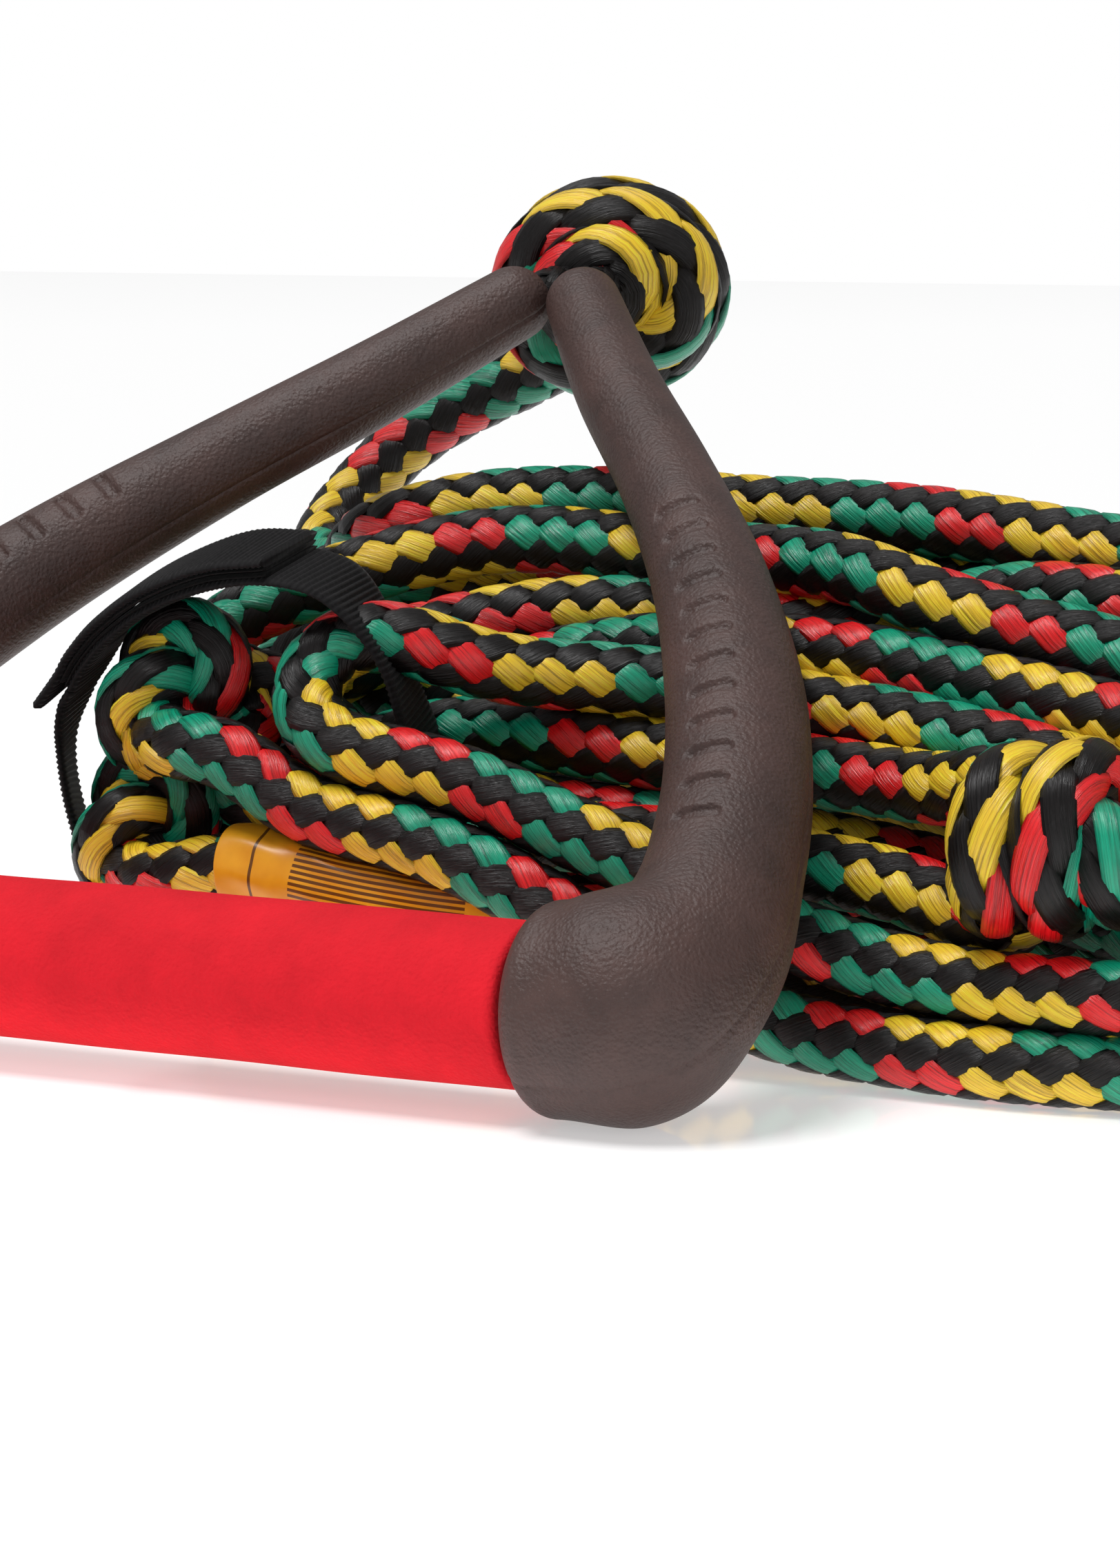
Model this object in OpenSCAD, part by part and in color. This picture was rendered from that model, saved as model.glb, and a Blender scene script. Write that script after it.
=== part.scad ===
// Tow rope handle: a foam grip on a tube between two moulded elbows, a bridle
// that runs through all of them to a knot, and the braided line laid up as a hank.
// The handle leans back over the hank. Z = 0 is the floor, X runs along the bar.

/* [Bar] */
// Diameter of the foam grip
grip_d = 32; // [30:0.5:34]
// Half the length of the bar between the elbows' end faces
grip_half = 96; // [92:0.5:98]
// Outer diameter of the bar's tube
tube_d = 25.4; // [24:0.1:26]
// Wall of the bar's tube
tube_wall = 2; // [1.5:0.1:2.5]
// How far the tube goes into each elbow
socket_depth = 12; // [9:0.5:12]

/* [Arms] */
// How far the handle leans back from upright, in degrees
lean = 53.6; // [52:0.1:55]
// Rounding of the elbow's end face
end_round = 5; // [3:0.5:6]

/* [Bridle] */
// Diameter of the bridle rope inside the arms
bridle_d = 8; // [6:0.5:8]
// Gap between the bridle rope and its channel
channel_gap = 0.6; // [0.4:0.1:0.8]

/* [Line] */
// Diameter of the braided line
line_d = 15; // [13:0.5:16]
// Radius of the knot at the apex
apex_r = 25; // [22:0.5:25]
// Length of the hank
hank_len = 320; // [300:5:330]
// Radius of the knots along the line
knot_r = 17; // [15:0.5:18]
// Length of the label sleeve
sleeve_len = 62; // [50:1:65]

/* [Strap] */
// Width of the hook-and-loop strap
strap_w = 25; // [20:1:30]
// Thickness of its webbing
strap_t = 1.8; // [1.4:0.1:2.2]
// Thickness of its hook and loop patches
patch_t = 1; // [0.8:0.1:1.2]

/* [Hidden] */

eva = [0.21, 0.19, 0.19];
red_foam = [0.91, 0.10, 0.16];
yellow = [0.96, 0.76, 0.10];
green = [0.0, 0.55, 0.42];
webbing = [0.05, 0.05, 0.05];

fit_gap = 0.3;        // between the bar's pieces and the elbows that they turn in
ply_gap = 0.5;        // between the strap's hook patch and its loop patch
cap_flange = 2;       // end cap's flange over the tube's end
cap_plug = 18;        // end cap's length inside the tube
shell_sides = 12;     // facets round half an arm
rope_sides = 8;       // facets round a rope
patch_inset = 2;      // patches are this much narrower than the strap
cap_flare = 3;        // rounding of the hole's mouth in the end caps
knot_waist = 0.06;    // how far a knot's profile departs from a round barrel
knot_turn = 75;       // angle at which its profile meets its end faces
knot_face = 0.97;     // where along its half length its end faces begin to crown
knot_big = knot_r + 5; // radius of the largest knot along the line
bar_rings = 4;        // rings of the bridle rope in half the bar
bar_ring_step = 25;   // distance between them
$fn = 64;

// Right arm's outline in the plane of the handle, as [along the bar, up the handle] on its inner
// edge and then its outer edge: each pair spans one round section, from the tip to the elbow
arm_edges = [
    [2.3, 206, 15.7, 216], [23.2, 176.5, 37.8, 188.5], [47.5, 146.6, 63.5, 159.4],
    [69.6, 115, 89.6, 128], [86.6, 83.6, 111.5, 95.4], [97.6, 58, 125.4, 67],
    [103.5, 37.5, 133.4, 43.5], [105.5, 25, 139.5, 18], [104.5, 22, 136, -6],
    [102.5, 20.8, 123, -19], [grip_half + end_round, 20.3, grip_half + end_round + 2, -20.7]];
// Lowest and rearmost points of an arm about the bar's axis, which place the bar
arm_cloud = [for (s = arm_stations()) for (a = [0:10:350]) on_section(s, s[2], a)];
bar_z = -min([for (p = arm_cloud) p[2]]);
bridle_end = [4.3, 223.5, -4];
bridle_bend = [4.3, 220, -1.5];
reach_back = lifted(bridle_end[0], bridle_end[1], bridle_end[2])[1];
reach_front = min([for (p = arm_cloud) p[1]]);
bar_y = -(reach_back + reach_front) / 2;

// The places below are measured from the floor under the middle of the bar
apex_at = [-3, 208.5, 151];
line_route = [[-20, 214, 134], [-33, 215, 128], [-48, 211, 121], [-60, 205, 112], [-67, 196, 101],
    [-68, 184, 92], [-60, 170, 86], [-44, 158, 86]];
upper_knot_at = [-33, 72, 66];
lower_knot_at = [-42, 70, 38];
right_knot_at = [170, 66, 50];
sleeve_at = [-18, 58, 34];
hank_x0 = -68;
hank_front = 44;
hank_depth = 146;
hank_round = 45;      // corners of the hank in plan
hank_side = [[48, 0], [44, 8], [44, 26], [132, 98], [146, 110], [166, 112], [182, 104], [190, 86],
    [190, 12], [184, 0]];
strap_at = 69;
strap_arch = [[-64, 71], [-53, 79.5], [-36, 90.5], [-18, 95.5], [-2, 97]];
strap_under = [[8, 94.5], [15, 87], [20, 74], [21, 52], [8, 30], [-16, 20], [-44, 20], [-62, 30], [-69, 42],
    [-69, 56]];
strap_fin = [-68, 66.5];
tow_lead_route = [[196, 178, 12], [206, 200, 9], [200, 216, 8], [184, 221, 8], [164, 220, 10]];
tow_knot_at = [158, 219, 17];
tow_loop_at = [76, 219];
tow_loop_half = 32;   // from the middle of the loop to the centre of its round ends
tow_loop_r = 18;      // radius of its round ends, along the rope's centreline
tow_neck_d = 12;
tow_neck_end = 143;

// Smooth curves through hand-set points, and frames along them
function blend4(a, b, c, d, t) = 0.5 * (2 * b + (c - a) * t + (2 * a - 5 * b + 4 * c - d) * t * t
    + (3 * b - 3 * c + d - a) * t * t * t);
function at(p, i) = i < 0 ? 2 * p[0] - p[1] : i >= len(p) ? 2 * p[len(p) - 1] - p[len(p) - 2] : p[i];
function smooth(p, n) = concat([for (i = [0:len(p) - 2]) for (k = [0:n - 1])
    blend4(at(p, i - 1), p[i], p[i + 1], at(p, i + 2), k / n)], [p[len(p) - 1]]);
function unit(v) = v / norm(v);
function along(p, i) = unit(at(p, i + 1) - at(p, i - 1));

// A point of the handle's plane about the bar's axis: u along the bar, v up the handle, w to its front
function lifted(u, v, w) = [u, v * sin(lean) - w * cos(lean), v * cos(lean) + w * sin(lean)];

// Arm's round sections from its domed tip to its rounded end face: [middle, unit from inner to outer, radius]
function section(e) = let (i = [e[0], e[1]], o = [e[2], e[3]]) [(i + o) / 2, unit(o - i), norm(o - i) / 2];
function arm_stations() = let (
    body = [for (e = smooth(arm_edges, 3)) section(e)],
    tip = body[0],
    foot = body[len(body) - 1],
    up = [-tip[1][1], tip[1][0]])
    concat([for (a = [48, 32, 16]) [tip[0] + up * tip[2] * sin(a), tip[1], tip[2] * cos(a)]],
        body,
        [for (a = [30, 60, 88]) [foot[0] - [end_round * sin(a), 0], foot[1],
            foot[2] - end_round * (1 - cos(a))]]);
// A point of a section q out from its middle, at an angle from its outer edge towards the front
function on_section(s, q, a) = let (p = s[0] + s[1] * q * cos(a)) lifted(p[0], p[1], q * sin(a));

// Swept solid through rings of equal length, closed by end faces made of strips
function quads(n, rings) = [for (r = [0:rings - 2]) for (k = [0:n - 1])
    [r * n + k, (r + 1) * n + k, (r + 1) * n + (k + 1) % n, r * n + (k + 1) % n]];
module swept(rings) {
    n = len(rings[0]);
    polyhedron([for (ring = rings) for (p = ring) p],
        concat(quads(n, len(rings)), [[for (k = [0:n - 1]) k]],
            [[for (k = [n - 1:-1:0]) (len(rings) - 1) * n + k]]));
}

// Tube of round section along a list of points in space
function ring_about(c, t, r, sides) = let (a = unit(cross(t, abs(t[2]) < 0.9 ? [0, 0, 1] : [0, 1, 0])),
    b = cross(t, a)) [for (k = [0:sides - 1]) c + r * (cos(360 * k / sides) * a + sin(360 * k / sides) * b)];
module tube_along(points, r, sides) {
    swept([for (i = [0:len(points) - 1]) ring_about(points[i], along(points, i), r, sides)]);
}

// Back half of a right arm, cut at the handle's plane, with its rope channel and tube socket
module arm_back() {
    stations = arm_stations();
    bore = bridle_d / 2 + channel_gap;
    n = 2 * shell_sides + 2;
    rings = [for (s = stations) [for (k = [0:n - 1]) let (outer = k <= shell_sides,
        a = -180 * (outer ? k : n - 1 - k) / shell_sides)
        on_section(s, outer ? s[2] : bore, a)]];
    count = len(stations);
    strip = [for (k = [0:shell_sides - 1]) [k, k + 1, n - 2 - k, n - 1 - k]];
    difference() {
        polyhedron([for (ring = rings) for (p = ring) p],
            concat(quads(n, count), [for (q = strip) [q[3], q[2], q[1], q[0]]],
                [for (q = strip) [for (j = q) (count - 1) * n + j]]));
        translate([grip_half - 1, 0, 0]) rotate([0, 90, 0])
            cylinder(r = tube_d / 2 + fit_gap, h = socket_depth + cap_flange + fit_gap + 1);
    }
}
module arm_front() {
    mirror([0, -cos(lean), sin(lean)]) arm_back();
}

// Rounded barrel about the X axis, for a knot seen as one soft solid
module knot(at_point, r, half) {
    color("red") translate(at_point) rotate([0, 90, 0]) rotate_extrude()
        polygon(concat([[0, -half]], [for (a = [-knot_turn:15:knot_turn])
            [r * cos(a) * (1 - knot_waist + knot_waist * cos(2 * a)),
                half * sin(a) / sin(knot_turn) * knot_face]], [[0, half]]));
}

// Line moved sideways in the XZ plane, and webbing between two such lines, w wide in Y
function shifted(points, off) = [for (i = [0:len(points) - 1]) let (t = along(points, i))
    points[i] + off * [t[1], -t[0]]];
module webbing_strip(points, low, high, w) {
    far = shifted(points, high);
    translate([0, strap_at + w / 2, 0]) rotate([90, 0, 0]) linear_extrude(w)
        polygon(concat(shifted(points, low), [for (i = [len(far) - 1:-1:0]) far[i]]));
}

module grip() {
    color(red_foam) rotate([0, 90, 0]) translate([0, 0, -grip_half + fit_gap]) rotate_extrude()
        polygon([[tube_d / 2, 0], [grip_d / 2 - 1, 0], [grip_d / 2, 1],
            [grip_d / 2, 2 * (grip_half - fit_gap) - 1], [grip_d / 2 - 1, 2 * (grip_half - fit_gap)],
            [tube_d / 2, 2 * (grip_half - fit_gap)]]);
}

module bar_tube() {
    half = grip_half + socket_depth;
    color("silver") rotate([0, 90, 0]) translate([0, 0, -half]) difference() {
        cylinder(d = tube_d, h = 2 * half);
        translate([0, 0, -1]) cylinder(d = tube_d - 2 * tube_wall, h = 2 * half + 2);
    }
}

// Nylon plug with a flared hole, for the right end of the tube
module end_cap() {
    hole = bridle_d / 2 + channel_gap;
    color("white") translate([grip_half + socket_depth, 0, 0]) rotate([0, 90, 0]) rotate_extrude()
        polygon(concat([[tube_d / 2 - tube_wall, -cap_plug], [tube_d / 2 - tube_wall, 0], [tube_d / 2, 0],
            [tube_d / 2, cap_flange]],
            [for (a = [0:15:90])
                [hole + cap_flare * (1 - sin(a)), cap_flange - cap_flare * (1 - cos(a))]],
            [[hole, -cap_plug]]));
}

// Bridle rope: knot, arm, bar, arm and knot again, in one piece
module bridle_rope() {
    arm = [for (s = arm_stations()) on_section(s, 0, 0)];
    inside = [for (i = [1:len(arm) - 4]) arm[i]];
    ends = [for (p = [bridle_end, bridle_bend]) lifted(p[0], p[1], p[2])];
    leg = concat(ends, inside);
    across = [for (k = [bar_rings - 1:-1:0]) [k * bar_ring_step, 0, 0]];
    half = concat(leg, across);
    other = [for (i = [len(half) - 2:-1:0]) [-half[i][0], half[i][1], half[i][2]]];
    color(webbing) tube_along(concat(half, other), bridle_d / 2, rope_sides);
}

module apex_knot() {
    color(green) translate(apex_at) sphere(r = apex_r);
}

module main_line() {
    color(yellow) tube_along(smooth(line_route, 3), line_d / 2, rope_sides);
}

module hank() {
    color(green) intersection() {
        translate([hank_x0, 0, 0]) rotate([90, 0, 90]) linear_extrude(hank_len) polygon(hank_side);
        linear_extrude(200) union() {
            translate([hank_x0 + hank_round, 0]) square([hank_len - 2 * hank_round, 240]);
            translate([hank_x0, hank_front + hank_round]) square([hank_len, hank_depth - 2 * hank_round]);
            for (x = [hank_round, hank_len - hank_round], y = [hank_round, hank_depth - hank_round])
                translate([hank_x0 + x, hank_front + y]) circle(r = hank_round);
        }
    }
}

module label_sleeve() {
    color(yellow) translate(sleeve_at) rotate([0, 90, 0]) difference() {
        cylinder(r = line_d / 2 + 2, h = sleeve_len);
        translate([0, 0, -1]) cylinder(r = line_d / 2, h = sleeve_len + 2);
    }
}

// Stretch of line inside the label sleeve
module sleeve_core() {
    color(green) translate(sleeve_at - [3, 0, 0]) rotate([0, 90, 0]) cylinder(d = line_d, h = sleeve_len + 6);
}

module strap_band() {
    once = concat(strap_arch, strap_under);
    thrice = smooth(concat(once, once, once), 3);
    outer = shifted(thrice, 0);
    inner = shifted(thrice, strap_t);
    turn = [for (i = [0:3 * len(once) - 1]) i + 3 * len(once)];
    color(webbing) translate([0, strap_at + strap_w / 2, 0]) rotate([90, 0, 0]) linear_extrude(strap_w)
        difference() {
            polygon([for (i = turn) outer[i]]);
            polygon([for (i = turn) inner[i]]);
        }
}

// Line that the patches and the tail follow over the band, from the loose end to the stitched end
function tail_line() = smooth(concat([strap_fin], strap_arch), 3);

module loop_patch() {
    color(webbing) webbing_strip(tail_line(), -patch_t, 0, strap_w - patch_inset);
}

module hook_patch() {
    near = -patch_t - ply_gap;
    color(webbing) webbing_strip(tail_line(), near - patch_t, near, strap_w - patch_inset);
}

module strap_tail() {
    under = -2 * patch_t - ply_gap;
    color(webbing) webbing_strip(tail_line(), under - strap_t, under, strap_w);
}

module tow_lead() {
    color(yellow) tube_along(smooth(tow_lead_route, 3), line_d / 2, rope_sides);
}

// Whipping band on the neck of the tow loop
module tow_knot_band() {
    from = tow_loop_at[0] + tow_loop_half + tow_loop_r + line_d / 2;
    color(webbing) translate([from, tow_loop_at[1], line_d / 2]) rotate([0, 90, 0]) difference() {
        cylinder(d = line_d, h = tow_neck_end - from);
        translate([0, 0, -1]) cylinder(d = tow_neck_d, h = tow_neck_end - from + 2);
    }
}

module tow_loop() {
    color(yellow) translate([tow_loop_at[0], tow_loop_at[1], line_d / 2]) {
        for (s = [-1, 1]) {
            translate([-tow_loop_half, s * tow_loop_r, 0]) rotate([0, 90, 0])
                cylinder(d = line_d, h = 2 * tow_loop_half);
            translate([s * tow_loop_half, 0, 0]) rotate([0, 0, s > 0 ? -90 : 90])
                rotate_extrude(angle = 180) translate([tow_loop_r, 0]) circle(d = line_d);
        }
        translate([tow_loop_half + tow_loop_r, 0, 0]) rotate([0, 90, 0])
            cylinder(d = tow_neck_d, h = tow_neck_end - tow_loop_at[0] - tow_loop_half - tow_loop_r);
    }
}

module on_bar() {
    translate([0, bar_y, bar_z]) children();
}
module on_floor() {
    translate([0, bar_y, 0]) children();
}

on_bar() grip();
on_bar() bar_tube();
on_bar() mirror([1, 0, 0]) end_cap();  // end_cap_left
on_bar() end_cap();  // end_cap_right
on_bar() mirror([1, 0, 0]) color(eva) arm_front();  // arm_left_front
on_bar() mirror([1, 0, 0]) color(eva) arm_back();  // arm_left_back
on_bar() color(eva) arm_front();  // arm_right_front
on_bar() color(eva) arm_back();  // arm_right_back
on_bar() bridle_rope();
on_floor() apex_knot();
on_floor() main_line();
on_floor() hank();
on_floor() knot(upper_knot_at, knot_r, knot_r);  // line_knot_upper
on_floor() knot(lower_knot_at, knot_r, knot_r);  // line_knot_lower
on_floor() knot(right_knot_at, knot_big, knot_big);  // line_knot_right
on_floor() label_sleeve();
on_floor() sleeve_core();
on_floor() strap_band();
on_floor() loop_patch();
on_floor() strap_tail();
on_floor() hook_patch();
on_floor() tow_lead();
on_floor() knot(tow_knot_at, knot_r, knot_r);  // tow_knot
on_floor() tow_knot_band();
on_floor() tow_loop();
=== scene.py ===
"""Looks of the tow rope handle: braided line, knots, moulded arms, foam grip and strap.

Design sizes are in millimetres, measured from the floor under the middle of the bar, with X
along the bar and Y from the grip back to the apex knot. row() turns them into the frame's metres.
"""
import math

import bpy
import numpy as np
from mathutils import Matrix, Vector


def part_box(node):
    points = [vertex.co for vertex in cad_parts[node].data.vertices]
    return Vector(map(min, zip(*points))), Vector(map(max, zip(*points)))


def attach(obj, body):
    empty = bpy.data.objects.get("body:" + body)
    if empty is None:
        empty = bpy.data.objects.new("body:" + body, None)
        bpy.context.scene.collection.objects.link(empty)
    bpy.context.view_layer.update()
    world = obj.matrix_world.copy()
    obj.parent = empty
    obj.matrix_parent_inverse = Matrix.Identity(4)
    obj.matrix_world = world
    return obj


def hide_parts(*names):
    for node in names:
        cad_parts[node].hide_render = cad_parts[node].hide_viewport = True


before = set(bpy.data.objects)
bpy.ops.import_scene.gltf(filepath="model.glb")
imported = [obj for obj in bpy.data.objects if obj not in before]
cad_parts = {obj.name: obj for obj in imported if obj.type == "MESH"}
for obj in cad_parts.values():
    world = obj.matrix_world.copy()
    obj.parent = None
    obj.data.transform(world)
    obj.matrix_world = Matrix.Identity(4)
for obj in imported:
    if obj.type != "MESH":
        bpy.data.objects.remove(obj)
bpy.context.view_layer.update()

MM = 0.001
X_AXIS = np.array([1.0, 0.0, 0.0])
Y_AXIS = np.array([0.0, 1.0, 0.0])
Z_AXIS = np.array([0.0, 0.0, 1.0])
grip_low, grip_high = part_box("grip")
BAR = np.array((grip_low + grip_high) / 2) / MM
BAR_Y = float(BAR[1])
BAR_Z = float(BAR[2])


def row(points):
    """Points from the floor under the bar, in mm, as points of the row frame in metres."""
    return (np.asarray(points, float) + [0, BAR_Y, 0]) * MM


# ---------------------------------------------------------------- camera

CAMERA_AT = (574.6, -820.4, 177.7)
CAMERA_LOOKS_AT = (101.0, 0.0, 63.3)
SENSOR_HEIGHT = 24.0
LENS = 78.81


def make_camera():
    """The camera, low and in front of the right elbow."""
    data = bpy.data.cameras.new("camera")
    data.sensor_fit = "VERTICAL"
    data.sensor_height = SENSOR_HEIGHT
    data.lens = LENS
    data.clip_start = 0.05
    data.clip_end = 50
    camera = bpy.data.objects.new("camera", data)
    bpy.context.scene.collection.objects.link(camera)
    eye, target = row([CAMERA_AT, CAMERA_LOOKS_AT])
    back = Vector(eye - target).normalized()
    camera.location = eye
    camera.rotation_euler = back.to_track_quat("Z", "Y").to_euler()
    bpy.context.scene.camera = camera


make_camera()

# ---------------------------------------------------------------- curves and meshes


def smooth(points, per_span):
    """Catmull-Rom curve through points, per_span steps from each to the next."""
    p = np.asarray(points, float)
    p = np.vstack([2 * p[0] - p[1], p, 2 * p[-1] - p[-2]])
    t = (np.arange(per_span) / per_span)[:, None]
    spans = []
    for a, b, c, d in zip(p[:-3], p[1:-2], p[2:-1], p[3:]):
        spans.append(0.5 * (2 * b + (c - a) * t + (2 * a - 5 * b + 4 * c - d) * t ** 2
                            + (3 * b - 3 * c + d - a) * t ** 3))
    return np.vstack(spans + [p[-2:-1]])


def lengths(points):
    """Distance along a line at each of its points."""
    return np.concatenate([[0], np.cumsum(np.linalg.norm(np.diff(points, axis=0), axis=1))])


def spaced(points, step):
    """The same line with its points step apart."""
    along = lengths(points)
    at = np.linspace(0, along[-1], max(3, int(round(along[-1] / step)) + 1))
    return np.stack([np.interp(at, along, points[:, k]) for k in range(3)], axis=1)


def unit(v):
    """Vectors brought to length 1."""
    return v / np.maximum(np.linalg.norm(v, axis=-1, keepdims=True), 1e-9)


def tangents(points):
    """Unit direction of a line at each of its points."""
    return unit(np.gradient(points, axis=0))


def frames(points):
    """Tangent, normal and binormal at each point, turning as little as possible."""
    t = tangents(points)
    start = np.cross(t[0], Z_AXIS if abs(t[0][2]) < 0.9 else X_AXIS)
    normals = [unit(start)]
    for i in range(1, len(t)):
        n = normals[-1] - t[i] * (normals[-1] @ t[i])
        normals.append(unit(n))
    n = np.array(normals)
    return t, n, np.cross(t, n)


def grid_faces(rings, sides):
    """Quads of a tube's surface, from ring to ring."""
    r = np.arange(rings - 1)[:, None] * sides
    k = np.arange(sides)[None, :]
    nxt = (k + 1) % sides
    quads = np.stack([r + k, r + nxt, r + sides + nxt, r + sides + k], axis=-1)
    return quads.reshape(-1, 4)


def capped_faces(rings, sides):
    """Faces of a tube with a flat face over each end."""
    first = list(reversed(range(sides)))
    last = [(rings - 1) * sides + k for k in range(sides)]
    return grid_faces(rings, sides).tolist() + [first, last]


def piece(name, verts, faces, materials, face_materials=None, uv=None):
    """A mesh object in metres from verts in mm measured from the floor under the bar."""
    mesh = bpy.data.meshes.new(name)
    mesh.from_pydata(row(verts).tolist(), [], faces)
    for material in materials:
        mesh.materials.append(material)
    if face_materials is not None:
        mesh.polygons.foreach_set("material_index", np.asarray(face_materials, np.int32))
    mesh.polygons.foreach_set("use_smooth", np.ones(len(mesh.polygons), bool))
    if uv is not None:
        layer = mesh.uv_layers.new(name="lay")
        loops = np.zeros(len(mesh.loops), np.int32)
        mesh.loops.foreach_get("vertex_index", loops)
        layer.data.foreach_set("uv", np.asarray(uv, np.float32)[loops].ravel())
    mesh.update()
    obj = bpy.data.objects.new(name, mesh)
    bpy.context.scene.collection.objects.link(obj)
    return obj


def ride(obj, body, replaced=()):
    """Makes a piece move with a body and the CAD nodes it stands for."""
    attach(obj, body)
    if replaced:
        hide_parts(*replaced)
    return obj


# ---------------------------------------------------------------- materials


class Nodes:
    """A new material with short calls for its nodes."""

    def __init__(self, name, colour, roughness):
        self.material = bpy.data.materials.new(name)
        self.material.use_nodes = True
        self.tree = self.material.node_tree
        self.shader = self.tree.nodes["Principled BSDF"]
        self.shader.inputs["Base Color"].default_value = (*colour, 1)
        self.shader.inputs["Roughness"].default_value = roughness

    def node(self, kind, **values):
        made = self.tree.nodes.new(kind)
        for key, value in values.items():
            if key in made.inputs.keys():
                made.inputs[key].default_value = value
            else:
                setattr(made, key, value)
        return made

    def link(self, source, target):
        self.tree.links.new(source, target)

    def stretched(self, coordinates, scale):
        mapping = self.node("ShaderNodeMapping")
        mapping.inputs["Scale"].default_value = scale
        source = self.node("ShaderNodeTexCoord")
        self.link(source.outputs[coordinates], mapping.inputs["Vector"])
        return mapping.outputs["Vector"]

    def noise(self, vector, scale, detail=3.0, rough=0.5):
        made = self.node("ShaderNodeTexNoise", Scale=scale, Detail=detail, Roughness=rough)
        self.link(vector, made.inputs["Vector"])
        return made.outputs["Fac"]

    def ramp(self, source, stops):
        made = self.node("ShaderNodeValToRGB")
        elements = made.color_ramp.elements
        while len(elements) < len(stops):
            elements.new(0.5)
        for element, (position, colour) in zip(elements, stops):
            element.position = position
            element.color = (*colour, 1)
        self.link(source, made.inputs["Fac"])
        return made.outputs["Color"]

    def roughness(self, source, low, high):
        made = self.node("ShaderNodeMapRange")
        made.inputs["To Min"].default_value = low
        made.inputs["To Max"].default_value = high
        self.link(source, made.inputs["Value"])
        self.link(made.outputs["Result"], self.shader.inputs["Roughness"])

    def bump(self, source, strength, distance, under=None):
        made = self.node("ShaderNodeBump", Strength=strength, Distance=distance)
        self.link(source, made.inputs["Height"])
        if under is not None:
            self.link(under, made.inputs["Normal"])
        self.link(made.outputs["Normal"], self.shader.inputs["Normal"])
        return made.outputs["Normal"]


def shade(colour, factor):
    """A colour made darker or brighter."""
    return tuple(min(1.0, c * factor) for c in colour)


FIBRE_STRETCH = (26.0, 55.0, 1.0)
FIBRE_DEPTH = 0.0006
WEAR_SCALE = 90.0
WEAR = 0.35
WORN_GREY = (0.82, 0.82, 0.82)


def fibre_material(name, colour, roughness=0.25, gloss=0.65):
    """Twisted polypropylene filaments that run along a strand."""
    dark, bright = shade(colour, 0.45), shade(colour, 1.35)
    made = Nodes(name, colour, roughness)
    along = made.stretched("UV", FIBRE_STRETCH)
    fibres = made.noise(along, 1.0, detail=4.0, rough=0.65)
    worn = made.noise(made.stretched("Object", (1, 1, 1)), WEAR_SCALE, detail=2.0)
    tone = made.ramp(fibres, [(0.36, dark), (0.49, colour), (0.64, bright)])
    mix = made.node("ShaderNodeMix", data_type="RGBA", blend_type="MULTIPLY")
    mix.inputs["Factor"].default_value = WEAR
    made.link(tone, mix.inputs["A"])
    made.link(made.ramp(worn, [(0.3, WORN_GREY), (0.6, (1, 1, 1))]), mix.inputs["B"])
    made.link(mix.outputs["Result"], made.shader.inputs["Base Color"])
    made.roughness(fibres, roughness - 0.08, roughness + 0.16)
    made.bump(fibres, 0.8, FIBRE_DEPTH)
    made.shader.inputs["Specular IOR Level"].default_value = gloss
    return made.material


MOTTLE_SCALE = 45.0


def grain_material(name, colour, roughness, cell, depth, mottling):
    """Foam with a fine leather-like grain and mottled colour."""
    dark, bright = shade(colour, 1 - mottling), shade(colour, 1 + mottling)
    made = Nodes(name, colour, roughness)
    place = made.stretched("Object", (1, 1, 1))
    voronoi = made.node("ShaderNodeTexVoronoi", feature="SMOOTH_F1", Scale=cell)
    made.link(place, voronoi.inputs["Vector"])
    fine = made.noise(place, cell * 1.7, detail=3.0, rough=0.6)
    broad = made.noise(place, MOTTLE_SCALE, detail=9.0, rough=0.72)
    tone = made.ramp(broad, [(0.3, dark), (0.7, bright)])
    made.link(tone, made.shader.inputs["Base Color"])
    made.roughness(fine, roughness - 0.08, roughness + 0.08)
    first = made.bump(voronoi.outputs["Distance"], 0.5, depth)
    made.bump(fine, 0.4, depth, under=first)
    return made.material


THREAD_SCALE = 900.0


def webbing_material(name, colour):
    """Dull woven threads."""
    made = Nodes(name, colour, 0.75)
    place = made.stretched("UV", (1, 1, 1))
    threads = made.noise(place, THREAD_SCALE, detail=2.0)
    tone = made.ramp(threads, [(0.3, shade(colour, 0.5)), (0.7, shade(colour, 1.9))])
    made.link(tone, made.shader.inputs["Base Color"])
    made.bump(threads, 0.5, 0.0002)
    made.shader.inputs["Sheen Weight"].default_value = 0.06
    made.shader.inputs["Specular IOR Level"].default_value = 0.15
    return made.material


YELLOW = (0.96, 0.60, 0.025)
GREEN = (0.0, 0.33, 0.185)
RED = (0.82, 0.007, 0.011)
BLACK = (0.006, 0.0045, 0.0045)
ARM_COLOUR = (0.063, 0.032, 0.027)
ARM_GRAIN, ARM_GRAIN_DEPTH = 1250.0, 0.0005
GRIP_COLOUR = (0.74, 0.012, 0.024)
GRIP_GRAIN, GRIP_GRAIN_DEPTH = 1100.0, 0.0004
strand_materials = [
    fibre_material("strand_yellow", YELLOW),
    fibre_material("strand_green", GREEN),
    fibre_material("strand_red", RED),
    fibre_material("strand_black", BLACK, roughness=0.28, gloss=0.32),
]
eva_material = grain_material("arm_eva", ARM_COLOUR, 0.50, ARM_GRAIN, ARM_GRAIN_DEPTH, mottling=0.4)
grip_material = grain_material("grip_foam", GRIP_COLOUR, 0.85, GRIP_GRAIN, GRIP_GRAIN_DEPTH,
                               mottling=0.14)
grip_material.node_tree.nodes["Principled BSDF"].inputs["Specular IOR Level"].default_value = 0.2
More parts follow.
